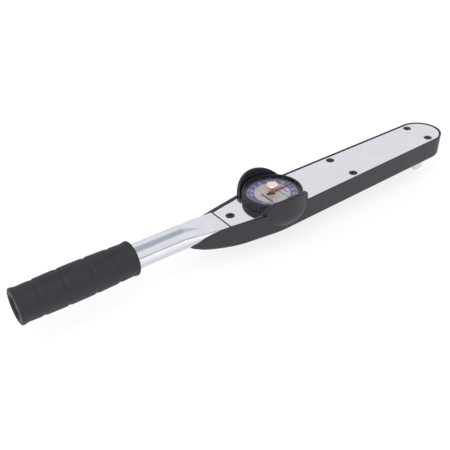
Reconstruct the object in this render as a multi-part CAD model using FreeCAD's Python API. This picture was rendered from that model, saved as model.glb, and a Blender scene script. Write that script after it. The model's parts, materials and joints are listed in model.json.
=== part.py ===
import FreeCAD, Part
import math
import os

# Dial torque wrench with a half-inch square drive, in millimetres.
# Origin: the drive axis, at the end face of the drive square.
# +X runs along the centreline (the handle lies on the -X side), +Z goes up through the dial.

V = FreeCAD.Vector
UP = V(0, 0, 1)
ORIGIN = V(0, 0, 0)

# Fits and clearances
RUN_FIT = 0.04             # radial play of a shaft or journal in its bush
FREE_GAP = 0.3             # gap between faces that move past each other
SEAT_GAP = 0.15            # gap around a part that drops into a pocket
THIN_GAP = 0.05            # gap between flat faces that turn on each other

# Drive square and head
SQUARE = 12.7
SQUARE_LENGTH = 16.0
SQUARE_EDGE = 0.9          # chamfer along the square's four edges and around its end
HUB_R = 11.0
HUB_LENGTH = 6.8           # round hub that shows between the square and the housing
HEAD_R = HUB_R + 1.6
YOKE_LENGTH = 32.0
YOKE_HALF = HEAD_R - 0.6
YOKE_TOP_WALL = 2.2
YOKE_PIN_X = (-14.0, -24.0)
YOKE_PIN_R = 2.5
JOURNAL_R = 7.0
CIRCLIP_THICK = 1.0
CIRCLIP_DEPTH = 0.8
CIRCLIP_R = HUB_R + 1.9
CIRCLIP_MOUTH = 5.0

# Detent ball in the +X face of the square
BALL_R = 2.4
BALL_PROUD = 1.1
BALL_HEIGHT = 8.0
BALL_BORE_DEPTH = 10.0
BALL_LIP = 0.25
LIP_GAP = 0.1
DETENT_WIRE_R = 0.3
DETENT_COILS = 4

# Main lay-out
DIAL_REACH = 230.0         # drive axis to dial axis
HOUSING_DEPTH = 26.0
LEDGE = 1.25               # ledge that the plate's edge rests on
HOUSING_FLOOR = 3.0
HOUSING_EDGE = 4.0         # rounding of the lower outside edge
RIM_PROUD = 0.5            # housing rim above the plate
DRAFT_INSET = 1.2          # how far the sides lean in from rim to bottom
NOSE_R = 25.4
WAIST = 29.1               # half-width of the housing beside the dial
FRONT_RIM = 2.1            # rim beside the plate, ahead of the dial
REAR_RIM = 3.9             # rim beside the plate, behind the dial
RIM_CHANGE = (-4.0, -28.0)  # where the rim widens, from the dial axis
# Housing outline behind the dial: distance from the dial axis, half-width
STERN = ((-15.5, 28.3), (-31.2, 25.8), (-49.4, 22.9), (-66.8, 19.8),
         (-82.0, 17.2), (-97.0, 15.0), (-107.0, 12.0))
STERN_TIP = -112.6
KEEL_START = -46.0         # where the bottom starts to rise, from the dial axis
KEEL_R = 144.0
SHEER_START = -76.0        # where the rim starts to curve down beside the handle tube
SHEER_R = 70.0

# Top plate
PLATE = 2.5
PLATE_ROUND = 0.7
PLATE_GAP = 0.35           # gap between the plate and the housing's rim
# Screw places: distance from the dial axis, distance from the centreline
SCREW_PAIRS = ((DIAL_REACH - 3.7, HUB_R + 5.0), (100.1, 18.4))
REAR_SCREW = -54.9
SCREW_R = 2.0
SCREW_HOLE_R = 2.2
SCREW_HEAD_R = 4.7
SCREW_SINK = 1.2           # seat of the screw heads below the plate's top
SCREW_PROUD = 0.4
SCREW_LENGTH = 9.0
SOCKET_AF = 2.5
HEAD_EDGE = 0.2            # height of the slope round a screw head, as a share of the head
HEAD_CROWN = 0.9           # radius of a screw head's flat top, as a share of the head
SOCKET_SHARE = 0.7         # depth of a screw's socket as a share of its head

# Frame channel inside the housing
CHANNEL = 1.6
CHANNEL_GAP = 0.15         # gap between the channel and the housing at the floor
POST_R = 2.8
BRIDGE = 2.0
BRIDGE_HALF_X = 11.0
BUSH_WALL = 1.2
FLANGE = 1.0
FLANGE_OVER = 1.3
UPPER_FLANGE = 0.6

# Deflecting beam, load pins and anchor block
BEAM_HEIGHT = 10.0
BEAM_LIFT = FLANGE + 0.4    # beam above the channel floor
BEAM_HALF_FRONT = YOKE_HALF - 3.0
BEAM_HALF_REAR = 7.0
BEAM_END = -46.0
LOAD_PIN_X = -40.0
LOAD_PIN_R = 3.5
LOAD_PIN_LENGTH = 14.0
BLOCK_FRONT = -49.0
BLOCK_HALF = 13.0
BLOCK_LENGTH = 15.4
TANG_HALF = 11.0
TANG_TOP = 2.6             # tang below the plate's top plane
TANG_THICK = 6.2
TANG_LENGTH = 32.0
TUBE_PIN_R = 1.9
TUBE_PIN_STATIONS = (5.0, 14.0)
BLOCK_SCREW_X = (REAR_SCREW + 2.3, REAR_SCREW - 5.5)
BLOCK_SCREW_Y = 9.0
BLOCK_SCREW_R = 1.5
BLOCK_SCREW_HEAD_R = 2.7
BLOCK_SCREW_SINK = 2.2

# Sector arm and pinion
GEAR_MODULE = 0.4
PINION_TEETH = 12
ARM = 1.8
ARM_HALF_FRONT = 8.0
ARM_HALF_REAR = 4.0
ARM_START = -9.0
SECTOR_HALF_DEG = 2.55
SECTOR_DEPTH = 7.0
SECTOR_ADDENDUM = 0.28     # short teeth, so that they clear the small pinion's roots
PINION_LENGTH = 2.6
TOOTH_CLEAR = 0.03         # how far each tooth flank stands back for backlash
ARM_SCREW_X = (-15.0, -25.0)
ARM_SCREW_R = 1.5
ARM_SCREW_HEAD_R = 3.0
SMALL_HEAD = 1.2
STOP_X = 90.0              # overload stops, from the dial axis
STOP_R = 2.0
TORQUE_SWING_DEG = 1.8

# Gauge movement
ARBOR_R = 1.0
PIVOT_R = 0.5
MOVEMENT_BRIDGE = 1.2
MOVEMENT_GAP = 0.4
# Outline of the movement bridge on one side: distance from the dial axis, half-width
MOVEMENT_OUTLINE = ((5.0, 4.0), (-8.0, 12.0), (-14.0, 12.0))
BOSS_R = 6.0
BOSS_DROP = 4.4
PILLAR_R = 2.0
SPIGOT_R = 1.4
PILLAR_SPOTS = ((-11.0, 9.0), (-11.0, -9.0))
MOVEMENT_SCREW_R = 1.2
MOVEMENT_SCREW_DEPTH = 2.0
SLOT = 0.6
ARBOR_BUSH_R = 2.6
HAIR_COLLET_R = 1.8
HAIR_TURNS = 5
HAIR_PITCH = 0.5
HAIR_STRIP = 0.15
HAIR_HEIGHT = 0.7
STUD_R = 0.6

# Gauge case, heights above the plate
BEZEL_R = 32.2
BEZEL_RIB = 0.55
BEZEL_RIBS = 72
BEZEL_FOOT = 0.4
RIB_TOP = 7.6
BEZEL_TOP = 10.0
BEZEL_ROUND = 1.5
WINDOW_R = BEZEL_R - 2.5
CARTRIDGE_R = BEZEL_R - 1.95        # bore that holds lens, spacer and dial
CARRIER_TOP = 4.6
BASE_R = BEZEL_R - 3.2
BASE_SCREW_SPOTS = ((BASE_R - 13.0, 12.0), (BASE_R - 13.0, -12.0))
BASE_HEIGHT = 4.0
BASE_FLOOR = 1.2
BASE_WALL = 2.6
CLIP = 0.8
CLIP_HEIGHT = 2.0
CLIP_DEPTH = 0.9
CLIP_REACH = 0.75
CLIP_MOUTH = 8.0
DIAL = 0.8
LENS = 1.2
LENS_SEAT = 8.6
GASKET = 0.6
GASKET_WIDTH = 0.9
POINTER_HEIGHT = 5.9
POINTER = 0.4
POINTER_REACH = BASE_R - 2.5
POINTER_TAIL = 7.0
POINTER_HUB_R = 2.4
POINTER_TIP = 0.27         # half-widths of a pointer at its tip, its hub and its tail
POINTER_WAIST = 0.9
POINTER_HEEL = 1.4
MEMORY_HEIGHT = 6.7
MEMORY = 0.35
MEMORY_REACH = POINTER_REACH - 5.5
MEMORY_HUB_R = 3.3
MEMORY_ANGLE = 12.0
KNOB_BUSH_R = 1.6
STEM_R = 0.9
KNOB_R = 6.1
KNOB_TOP = 15.7
KNOB_THICK = 3.0
KNOB_NOTCHES = 36
KNOB_NOTCH_R = 0.22
KNOB_EDGE = 0.5

# Dial guards, rising from the housing on both sides of the dial
GUARD_IN = BEZEL_R + 1.7
GUARD_OUT = GUARD_IN + 3.6
GUARD_HALF = 29.0
GUARD_RISE = 18.2
GUARD_ROUND = 1.6          # rounding of a guard's outer top edge
POD_STRAIGHT = 1.0         # straight part of a guard's outer face below the plate's top
POD_DROP = HOUSING_DEPTH - 6.0            # lowest point of the rounded pod below the plate's top
POD_FOOT_R = WAIST - 2.1

# Handle tube, grip and end plug
TUBE_R = 12.7
TUBE_WALL = 2.0
TUBE_DROP = 1.1            # tube axis below the plate's top plane at the seam
SEAM = -65.6
SEAM_GAP = 0.05
FLAT_LENGTH = 49.0
FLAT_HALF = TUBE_R + 4.5
FLAT_HEIGHT = 10.0
FLAT_SINK = 1.5            # centre of the pressed end below the tube axis
HANDLE_LENGTH = 217.2      # seam to butt
HANDLE_RISE_DEG = 1.25
TROUGH_GAP = 0.1
TUBE_SNUG = 0.02
GRIP_LENGTH = 114.7
GRIP_LIP_R = TUBE_R + 4.5
GRIP_LIP = 3.0
GRIP_NECK_R = TUBE_R + 3.4
GRIP_BELLY_R = TUBE_R + 5.0
GRIP_GROOVES = (20.5, 44.0, 70.5, 94.5)
GROOVE_DEPTH = 0.9
GROOVE_HALF = 3.0
PLUG_R = TUBE_R - 1.3
PLUG_SINK = 1.2
PLUG_FLANGE = 4.0
PLUG_STEM = 16.0
PLUG_RIM = 2.2
PLUG_DISH = 0.8
GRIP_ROUND = 1.0

# Levels worked out from the sizes above
SHOULDER_Z = SQUARE_LENGTH
BOTTOM_Z = SHOULDER_Z + HUB_LENGTH
PLATE_Z = BOTTOM_Z + HOUSING_DEPTH
PLATE_UNDER = PLATE_Z - PLATE
FLOOR_Z = BOTTOM_Z + HOUSING_FLOOR
CHANNEL_Z = FLOOR_Z + CHANNEL
BEAM_Z = CHANNEL_Z + BEAM_LIFT
BEAM_TOP = BEAM_Z + BEAM_HEIGHT
BRIDGE_M_Z = BEAM_TOP + MOVEMENT_GAP
ARM_Z = BEAM_TOP + YOKE_TOP_WALL
ARM_TOP = ARM_Z + ARM
DIAL_X = -DIAL_REACH
SEAM_X = DIAL_X + SEAM
PITCH_RADIUS = GEAR_MODULE * PINION_TEETH / 2
SECTOR_RADIUS = DIAL_REACH - PITCH_RADIUS
SECTOR_TEETH = 2 * SECTOR_RADIUS / GEAR_MODULE
TAPER = math.asin((WAIST - NOSE_R) / DIAL_REACH)


def cyl(radius, low, high, x=0.0, y=0.0):
    return Part.makeCylinder(radius, high - low, V(x, y, low))


def ring(inner, outer, low, high, x=0.0, y=0.0):
    return cyl(outer, low, high, x, y).cut(cyl(inner, low - 1, high + 1, x, y))


def box(x0, x1, y0, y1, z0, z1):
    return Part.makeBox(x1 - x0, y1 - y0, z1 - z0, V(x0, y0, z0))


def prism(points, low, high):
    wire = Part.makePolygon([V(x, y, low) for x, y in points + points[:1]])
    return Part.Face(wire).extrude(V(0, 0, high - low))


def turned(profile, x=0.0, y=0.0):
    """A solid of revolution about a vertical axis from (radius, height) points."""
    wire = Part.makePolygon([V(x + r, y, z) for r, z in profile + profile[:1]])
    return Part.Face(wire).revolve(V(x, y, 0), UP, 360)


def fused(shapes):
    first, rest = shapes[0], shapes[1:]
    return first.fuse(rest).removeSplitter() if rest else first


def hexagon(across_flats, low, high, x, y):
    radius = across_flats / math.sqrt(3)
    angles = [k * math.pi / 3 for k in range(6)]
    corners = [(x + radius * math.cos(a), y + radius * math.sin(a)) for a in angles]
    return prism(corners, low, high)


def cap_screw(x, y, seat, length, radius, head_r, head, socket):
    """Low round-headed screw standing on the plane seat, pointing down."""
    top = seat + head
    profile = [(0, seat), (head_r, seat), (head_r, top - head * HEAD_EDGE), (head_r * HEAD_CROWN, top), (0, top)]
    screw = fused([turned(profile, x, y), cyl(radius, seat - length, seat, x, y)])
    return screw.cut(hexagon(socket, top - SOCKET_SHARE * head, top + 1, x, y))


def along_handle(shape):
    """Places a shape built about the X axis, with the seam at x = 0, on the tube's rising axis."""
    placed = shape.copy()
    placed.rotate(ORIGIN, V(0, 1, 0), HANDLE_RISE_DEG)
    placed.translate(V(SEAM_X, 0, PLATE_Z - TUBE_DROP))
    return placed


def outline(inset, z, rear_inset=None):
    """Closed wire of the housing's outline, moved inwards by inset, and by rear_inset behind the dial."""
    rear = inset if rear_inset is None else rear_inset
    radius = NOSE_R - inset
    sides = []
    for mirror in (1, -1):
        touch = V(radius * math.sin(TAPER), mirror * radius * math.cos(TAPER), z)
        start = V(DIAL_X + RIM_CHANGE[0], mirror * (WAIST - inset), z)
        points = [start]
        points += [V(DIAL_X + x, mirror * (half - (rear if x < RIM_CHANGE[1] else inset)), z) for x, half in STERN]
        curve = Part.BSplineCurve()
        curve.interpolate(points, InitialTangent=V(-1, mirror * math.tan(TAPER), 0),
                          FinalTangent=points[-1] - points[-2])
        sides.append((touch, start, curve, points[-1]))
    left, right = sides
    return Part.Wire([
        Part.Arc(right[0], V(radius, 0, z), left[0]).toShape(),
        Part.LineSegment(left[0], left[1]).toShape(),
        left[2].toShape(),
        Part.Arc(left[3], V(DIAL_X + STERN_TIP + inset, 0, z), right[3]).toShape(),
        right[2].toShape(),
        Part.LineSegment(right[1], right[0]).toShape(),
    ])


def slab(inset, rear_inset, low, high):
    """The housing's outline as a flat solid."""
    return Part.Face(outline(inset, low, rear_inset)).extrude(V(0, 0, high - low))


def ahead_of(x, low=0.0, high=100.0):
    """Everything ahead of the place x, measured from the dial axis."""
    return box(DIAL_X + x, 2 * NOSE_R, -2 * WAIST, 2 * WAIST, low, high)


def cross_cylinder(radius, half, x, z):
    """A pin along Y."""
    return Part.makeCylinder(radius, 2 * half, V(x, -half, z), V(0, 1, 0))


# Housing -----------------------------------------------------------------

def tube_outer(grow=0.0):
    """The handle tube's outer form about the X axis: round, then pressed wide and flat towards the seam."""
    def station(s):
        share = 1 - s / FLAT_LENGTH
        half = TUBE_R + (FLAT_HALF - TUBE_R) * share + grow
        height = TUBE_R + (FLAT_HEIGHT - TUBE_R) * share + grow
        centre = V(-s, 0, -FLAT_SINK * share)
        if half - height < 0.01:
            edge = Part.Circle(centre, V(1, 0, 0), half).toShape()
            edge.rotate(centre, V(1, 0, 0), 90)
            return Part.Wire(edge)
        return Part.Wire(Part.Ellipse(centre + V(0, half, 0), centre + V(0, 0, height), centre).toShape())
    pressed = Part.makeLoft([station(FLAT_LENGTH * k / 4) for k in range(5)], True)
    round_part = Part.makeCylinder(TUBE_R + grow, HANDLE_LENGTH - FLAT_LENGTH, V(-HANDLE_LENGTH, 0, 0), V(1, 0, 0))
    rise = TUBE_R - TUBE_DROP
    # the press leaves a flat that runs from the seam up to the round tube's top
    far = 3 * FLAT_LENGTH
    slope = rise / FLAT_LENGTH
    wedge = Part.makePolygon([V(1, -40, TUBE_DROP + grow - slope), V(-far, -40, TUBE_DROP + grow + slope * far),
                              V(-far, -40, 90), V(1, -40, 90), V(1, -40, TUBE_DROP + grow - slope)])
    above = Part.Face(wedge).extrude(V(0, 80, 0))
    return pressed.fuse(round_part).cut(above).removeSplitter()


def make_handle_tube():
    bore = tube_outer(-TUBE_WALL)
    tube = tube_outer().cut(bore)
    plug_face = HANDLE_LENGTH - PLUG_SINK - PLUG_FLANGE
    keep = box(-plug_face, -SEAM_GAP, -40, 40, -40, 40)
    tube = tube.common(keep)
    tang_mid = TUBE_DROP - TANG_TOP - TANG_THICK / 2
    for station in TUBE_PIN_STATIONS:
        tube = tube.cut(cross_cylinder(TUBE_PIN_R, 40, -station, tang_mid))
    return along_handle(tube)


def make_tube_pins():
    tang_mid = TUBE_DROP - TANG_TOP - TANG_THICK / 2
    inside = tube_outer(-THIN_GAP)
    pins = [cross_cylinder(TUBE_PIN_R, WAIST, -station, tang_mid).common(inside) for station in TUBE_PIN_STATIONS]
    return along_handle(Part.makeCompound(pins))


def guards():
    """The two arched dial guards and the pods that carry them down the housing's sides."""
    top = PLATE_Z + GUARD_RISE
    foot, start = PLATE_Z - POD_DROP, PLATE_Z - POD_STRAIGHT
    drop, inward = start - foot, GUARD_OUT - POD_FOOT_R
    # the outer face runs straight down and then curves in to the foot
    curve_r = (drop ** 2 + inward ** 2) / (2 * inward)
    half_turn = math.asin(drop / curve_r) / 2
    bend = (GUARD_OUT - curve_r * (1 - math.cos(half_turn)), start - curve_r * math.sin(half_turn))
    within = POD_FOOT_R - 1
    corners = [(POD_FOOT_R, foot), (within, foot), (within, PLATE_Z + RIM_PROUD), (GUARD_IN, PLATE_Z + RIM_PROUD),
               (GUARD_IN, top), (GUARD_OUT, top), (GUARD_OUT, start)]
    spots = [V(DIAL_X + radius, 0, z) for radius, z in corners]
    edges = [Part.LineSegment(a, b).toShape() for a, b in zip(spots, spots[1:])]
    edges.append(Part.Arc(spots[-1], V(DIAL_X + bend[0], 0, bend[1]), spots[0]).toShape())
    body = Part.Face(Part.Wire(edges)).revolve(V(DIAL_X, 0, 0), UP, 360)
    reach = GUARD_OUT + 1
    arch = Part.Ellipse(V(DIAL_X + GUARD_HALF, -reach, PLATE_Z), V(DIAL_X, -reach, top), V(DIAL_X, -reach, PLATE_Z))
    arched = Part.Face(Part.Wire(arch.toShape())).extrude(V(0, 2 * reach, 0))
    below = box(DIAL_X - GUARD_HALF, DIAL_X + GUARD_HALF, -reach, reach, BOTTOM_Z, PLATE_Z)
    arches = body.common(arched.fuse(below))

    def on_outer_arch(edge):
        first, last = edge.FirstParameter, edge.LastParameter
        spots = [edge.valueAt(first + (last - first) * k / 4) for k in range(1, 4)]
        return all(p.z > PLATE_Z + 1 and math.hypot(p.x - DIAL_X, p.y) > GUARD_OUT - 0.01
                   and abs(p.x - DIAL_X) < GUARD_HALF - 0.01 for p in spots)
    return arches.makeFillet(GUARD_ROUND, [e for e in arches.Edges if on_outer_arch(e)])


def on_bottom(edge):
    """Whether an edge of the hull runs round its bottom, along the keel too."""
    first, last = edge.FirstParameter, edge.LastParameter
    spots = [edge.valueAt(first + (last - first) * k / 4) for k in range(5)]
    flat_across = max(p.x for p in spots) - min(p.x for p in spots) < 0.01
    centre = V(DIAL_X + KEEL_START, 0, BOTTOM_Z + KEEL_R)

    def on_keel(p):
        if p.x > centre.x - 0.01:
            return abs(p.z - BOTTOM_Z) < 0.01
        return abs(math.hypot(p.x - centre.x, p.z - centre.z) - KEEL_R) < 0.01
    return all(on_keel(p) for p in spots) and not flat_across


def make_housing():
    rim = PLATE_Z + RIM_PROUD
    hull = Part.makeLoft([outline(DRAFT_INSET, BOTTOM_Z), outline(0, rim)], True)
    keel_x = DIAL_X + KEEL_START
    keel = Part.makeCylinder(KEEL_R, 4 * WAIST, V(keel_x, -2 * WAIST, BOTTOM_Z + KEEL_R), V(0, 1, 0))
    hull = hull.common(keel.fuse(box(keel_x, 2 * NOSE_R, -2 * WAIST, 2 * WAIST, BOTTOM_Z, 2 * KEEL_R)))
    hull = hull.makeFillet(HOUSING_EDGE, [e for e in hull.Edges if on_bottom(e)])
    pocket_top = PLATE_Z + 2 * GUARD_RISE
    seat = (FRONT_RIM - PLATE_GAP, REAR_RIM - PLATE_GAP)
    hull = hull.cut(slab(*seat, PLATE_UNDER, pocket_top).common(ahead_of(SEAM)))
    pods = guards().cut(slab(*seat, BOTTOM_Z, PLATE_Z + FREE_GAP))
    housing = hull.fuse(pods)
    inner = FRONT_RIM + LEDGE
    cavity = Part.makeLoft([outline(inner + DRAFT_INSET, FLOOR_Z, REAR_RIM + LEDGE + DRAFT_INSET),
                            outline(inner, PLATE_UNDER + 0.01, REAR_RIM + LEDGE)], True)
    housing = housing.cut(cavity.common(ahead_of(SEAM - FREE_GAP)))
    sheer_x = DIAL_X + SHEER_START
    sheer = Part.makeCylinder(SHEER_R, 4 * WAIST, V(sheer_x, -2 * WAIST, rim - SHEER_R), V(0, 1, 0))
    fall = box(sheer_x - SHEER_R, sheer_x, -2 * WAIST, 2 * WAIST, rim - SHEER_R, pocket_top).cut(sheer)
    housing = housing.cut(fall)
    housing = housing.cut(along_handle(tube_outer(TROUGH_GAP)))
    housing = housing.cut(cyl(HUB_R + RUN_FIT + BUSH_WALL + FLANGE_OVER, BOTTOM_Z - 1, FLOOR_Z + 1))
    housing = housing.cut(cyl(GUARD_IN, PLATE_Z, pocket_top, DIAL_X, 0))
    return housing.removeSplitter()


def make_top_plate():
    plate = slab(FRONT_RIM, REAR_RIM, PLATE_UNDER, PLATE_Z).common(ahead_of(SEAM))
    rim = [e for e in plate.Edges if e.BoundBox.ZMin > PLATE_Z - 0.01 and e.BoundBox.XMax > SEAM_X + 1]
    plate = plate.makeFillet(PLATE_ROUND, rim)
    for x, y in screw_spots():
        plate = plate.cut(cyl(SCREW_HOLE_R, 0, 100, x, y))
        plate = plate.cut(cyl(SCREW_HEAD_R + SEAT_GAP, PLATE_Z - SCREW_SINK, 100, x, y))
    plate = plate.cut(cyl(BOSS_R + SEAT_GAP, 0, 100, DIAL_X, 0))
    for x, y in PILLAR_SPOTS:
        plate = plate.cut(cyl(MOVEMENT_SCREW_R + SEAT_GAP, 0, 100, DIAL_X + x, y))
    for x, y in BASE_SCREW_SPOTS:
        plate = plate.cut(cyl(MOVEMENT_SCREW_R, 0, 100, DIAL_X + x, y))
    return plate


# Frame inside the housing --------------------------------------------------

def screw_spots():
    spots = [(DIAL_X + x, side * y) for x, y in SCREW_PAIRS for side in (1, -1)]
    return spots + [(DIAL_X + REAR_SCREW, 0)]


def post_spots():
    """Places, and heights of the tops, of the posts that the plate screws go into."""
    head, middle = SCREW_PAIRS
    spots = [(DIAL_X + head[0], side * head[1], PLATE_UNDER - BRIDGE) for side in (1, -1)]
    return spots + [(DIAL_X + middle[0], side * middle[1], PLATE_UNDER) for side in (1, -1)]


def channel_inset():
    """Inset of the channel's outer faces, ahead of and behind the dial."""
    lean = LEDGE + DRAFT_INSET + CHANNEL_GAP
    return FRONT_RIM + lean, REAR_RIM + lean


def channel_inside():
    """The room between the channel's walls, for the parts that stand on its floor."""
    front, rear = channel_inset()
    return slab(front + CHANNEL + SEAT_GAP, rear + CHANNEL + SEAT_GAP, CHANNEL_Z, PLATE_UNDER)


def make_frame_channel():
    front, rear = channel_inset()
    outer = slab(front, rear, FLOOR_Z, PLATE_UNDER)
    inner = slab(front + CHANNEL, rear + CHANNEL, CHANNEL_Z, PLATE_UNDER + 1)
    channel = outer.cut(inner).common(ahead_of(SEAM + 2 * FREE_GAP))
    channel = channel.cut(cyl(HUB_R + RUN_FIT + BUSH_WALL, 0, CHANNEL_Z + 1))
    for side in (1, -1):
        channel = channel.cut(cyl(LOAD_PIN_R, 0, CHANNEL_Z + 1, DIAL_X + LOAD_PIN_X, side * load_pin_y()))
        channel = channel.cut(cyl(STOP_R, 0, CHANNEL_Z + 1, DIAL_X + STOP_X, side * stop_y()))
        for x in BLOCK_SCREW_X:
            channel = channel.cut(cyl(BLOCK_SCREW_R, 0, CHANNEL_Z + 1, DIAL_X + x, side * BLOCK_SCREW_Y))
    return channel


def make_plate_posts():
    room = channel_inside()
    posts = [cyl(POST_R, CHANNEL_Z, top, x, y).common(room).cut(cyl(SCREW_R, top - SCREW_LENGTH, top + 1, x, y))
             for x, y, top in post_spots()]
    return Part.makeCompound(posts)


def make_head_bridge():
    low = PLATE_UNDER - BRIDGE
    bridge = channel_inside().common(box(-BRIDGE_HALF_X, BRIDGE_HALF_X, -NOSE_R, NOSE_R, low, PLATE_UNDER))
    bridge = bridge.cut(cyl(JOURNAL_R + RUN_FIT + BUSH_WALL, 0, 100))
    for x, y in screw_spots():
        bridge = bridge.cut(cyl(SCREW_HOLE_R, 0, 100, x, y))
    return bridge


def make_plate_screws():
    seat, head = PLATE_Z - SCREW_SINK, SCREW_SINK + SCREW_PROUD
    screws = [cap_screw(x, y, seat, SCREW_LENGTH, SCREW_R, SCREW_HEAD_R, head, SOCKET_AF)
              for x, y in screw_spots()]
    return Part.makeCompound(screws)


def make_lower_bush():
    bore = HUB_R + RUN_FIT
    body = ring(bore, bore + BUSH_WALL, BOTTOM_Z + CIRCLIP_THICK + 2 * SEAT_GAP, CHANNEL_Z)
    flange = ring(bore, bore + BUSH_WALL + FLANGE_OVER, CHANNEL_Z, CHANNEL_Z + FLANGE)
    return fused([body, flange])


def make_upper_bush():
    bore = JOURNAL_R + RUN_FIT
    low = PLATE_UNDER - BRIDGE
    flange = ring(bore, bore + BUSH_WALL + FLANGE_OVER, low - UPPER_FLANGE, low)
    return fused([ring(bore, bore + BUSH_WALL, low, PLATE_UNDER), flange])


def beam_outline(grow=0.0):
    front = -JOURNAL_R + 2.0
    back = DIAL_X + BEAM_END
    return [(front + grow, BEAM_HALF_FRONT + grow), (-YOKE_LENGTH, BEAM_HALF_FRONT + grow),
            (back, BEAM_HALF_REAR + grow), (back, -BEAM_HALF_REAR - grow),
            (-YOKE_LENGTH, -BEAM_HALF_FRONT - grow), (front + grow, -BEAM_HALF_FRONT - grow)]


def make_deflecting_beam():
    beam = prism(beam_outline(), BEAM_Z, BEAM_TOP)
    for x in YOKE_PIN_X:
        beam = beam.cut(cross_cylinder(YOKE_PIN_R + SEAT_GAP, WAIST, x, (BEAM_Z + BEAM_TOP) / 2))
    return beam


def load_pin_y():
    return BEAM_HALF_REAR + 2 * SEAT_GAP + LOAD_PIN_R


def make_load_pins():
    pins = [cyl(LOAD_PIN_R, FLOOR_Z, FLOOR_Z + LOAD_PIN_LENGTH, DIAL_X + LOAD_PIN_X, side * load_pin_y())
            for side in (1, -1)]
    return Part.makeCompound(pins)


def stop_y():
    reach = abs(DIAL_X + STOP_X)
    swing = reach * math.tan(math.radians(TORQUE_SWING_DEG))
    return ARM_HALF_REAR + swing + FREE_GAP + STOP_R + 1.0


def make_overload_stops():
    stops = [cyl(STOP_R, FLOOR_Z, ARM_TOP + 1, DIAL_X + STOP_X, side * stop_y()) for side in (1, -1)]
    return Part.makeCompound(stops)


def make_anchor_block():
    back = SEAM_X + 2 * FREE_GAP
    block = box(DIAL_X + BLOCK_FRONT - BLOCK_LENGTH, DIAL_X + BLOCK_FRONT, -BLOCK_HALF, BLOCK_HALF,
                CHANNEL_Z, PLATE_UNDER)
    block = block.common(box(back, 0, -BLOCK_HALF, BLOCK_HALF, 0, 100)).common(channel_inside())
    top = TUBE_DROP - TANG_TOP
    tang = box(-TANG_LENGTH, 0, -TANG_HALF, TANG_HALF, top - TANG_THICK, top)
    tang = tang.common(tube_outer(-TUBE_WALL - SEAT_GAP))
    tang = tang.fuse(box(-THIN_GAP, BLOCK_LENGTH / 2, -TANG_HALF, TANG_HALF, top - TANG_THICK, top))
    tang = along_handle(tang.removeSplitter())
    for station in TUBE_PIN_STATIONS:
        tang = tang.cut(along_handle(cross_cylinder(TUBE_PIN_R, WAIST, -station, top - TANG_THICK / 2)))
    block = block.fuse(tang.cut(box(DIAL_X + BLOCK_FRONT, 0, -WAIST, WAIST, 0, 100))).removeSplitter()
    x = DIAL_X + REAR_SCREW
    block = block.cut(cyl(SCREW_R, PLATE_Z - SCREW_SINK - SCREW_LENGTH, PLATE_Z, x, 0))
    for x, y in block_screw_spots():
        block = block.cut(cyl(BLOCK_SCREW_R, 0, 100, x, y))
        block = block.cut(cyl(BLOCK_SCREW_HEAD_R + SEAT_GAP, PLATE_UNDER - BLOCK_SCREW_SINK, 100, x, y))
    return block


def block_screw_spots():
    return [(DIAL_X + x, side * BLOCK_SCREW_Y) for x in BLOCK_SCREW_X for side in (1, -1)]


def make_block_screws():
    seat = PLATE_UNDER - BLOCK_SCREW_SINK
    head = BLOCK_SCREW_SINK - SEAT_GAP
    screws = [cap_screw(x, y, seat, seat - FLOOR_Z, BLOCK_SCREW_R, BLOCK_SCREW_HEAD_R, head, SOCKET_AF - 0.5)
              for x, y in block_screw_spots()]
    return Part.makeCompound(screws)


# Drive head ------------------------------------------------------------------

def ball_centre():
    return V(SQUARE / 2 + BALL_PROUD - BALL_R, 0, BALL_HEIGHT)


def make_drive_head():
    half = SQUARE / 2
    square = box(-half, half, -half, half, 0, SHOULDER_Z)
    square = square.makeChamfer(SQUARE_EDGE, [e for e in square.Edges if e.BoundBox.ZMin < 0.01])
    hub = cyl(HUB_R, SHOULDER_Z, BEAM_Z)
    groove = ring(HUB_R - CIRCLIP_DEPTH, HUB_R + 1, BOTTOM_Z + SEAT_GAP, BOTTOM_Z + SEAT_GAP + CIRCLIP_THICK)
    block = cyl(HEAD_R, BEAM_Z, ARM_Z)
    yoke = box(-YOKE_LENGTH, 0, -YOKE_HALF, YOKE_HALF, BEAM_Z, ARM_Z)
    journal = cyl(JOURNAL_R, ARM_Z, PLATE_UNDER - SEAT_GAP)
    head = fused([square, hub.cut(groove), block, yoke, journal])
    slot_points = [(x - (1 if x < -YOKE_LENGTH else 0), y) for x, y in beam_outline(THIN_GAP)]
    head = head.cut(prism(slot_points, BEAM_Z - THIN_GAP / 2, BEAM_TOP + THIN_GAP))
    head = head.fuse(cyl(HUB_R, BEAM_Z - 1, BEAM_Z - THIN_GAP / 2))
    for x in YOKE_PIN_X:
        head = head.cut(cross_cylinder(YOKE_PIN_R, WAIST, x, (BEAM_Z + BEAM_TOP) / 2))
    for x in ARM_SCREW_X:
        head = head.cut(cyl(ARM_SCREW_R, BEAM_TOP - 1, 100, x, 0))
    bore = Part.makeCylinder(BALL_R + RUN_FIT, BALL_BORE_DEPTH - BALL_LIP,
                             V(half - BALL_BORE_DEPTH, 0, BALL_HEIGHT), V(1, 0, 0))
    edge = half - BALL_LIP - ball_centre().x
    mouth_r = math.sqrt(BALL_R ** 2 - edge ** 2) + LIP_GAP
    mouth = Part.makeCylinder(mouth_r, 2, V(half - BALL_LIP - 0.1, 0, BALL_HEIGHT), V(1, 0, 0))
    return head.cut([bore, mouth]).removeSplitter()


def make_yoke_pins():
    pins = [cross_cylinder(YOKE_PIN_R, YOKE_HALF, x, (BEAM_Z + BEAM_TOP) / 2) for x in YOKE_PIN_X]
    return Part.makeCompound(pins)


def make_thrust_washer():
    low = CHANNEL_Z + FLANGE + THIN_GAP
    return ring(HUB_R, HEAD_R, low, BEAM_Z)


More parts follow.
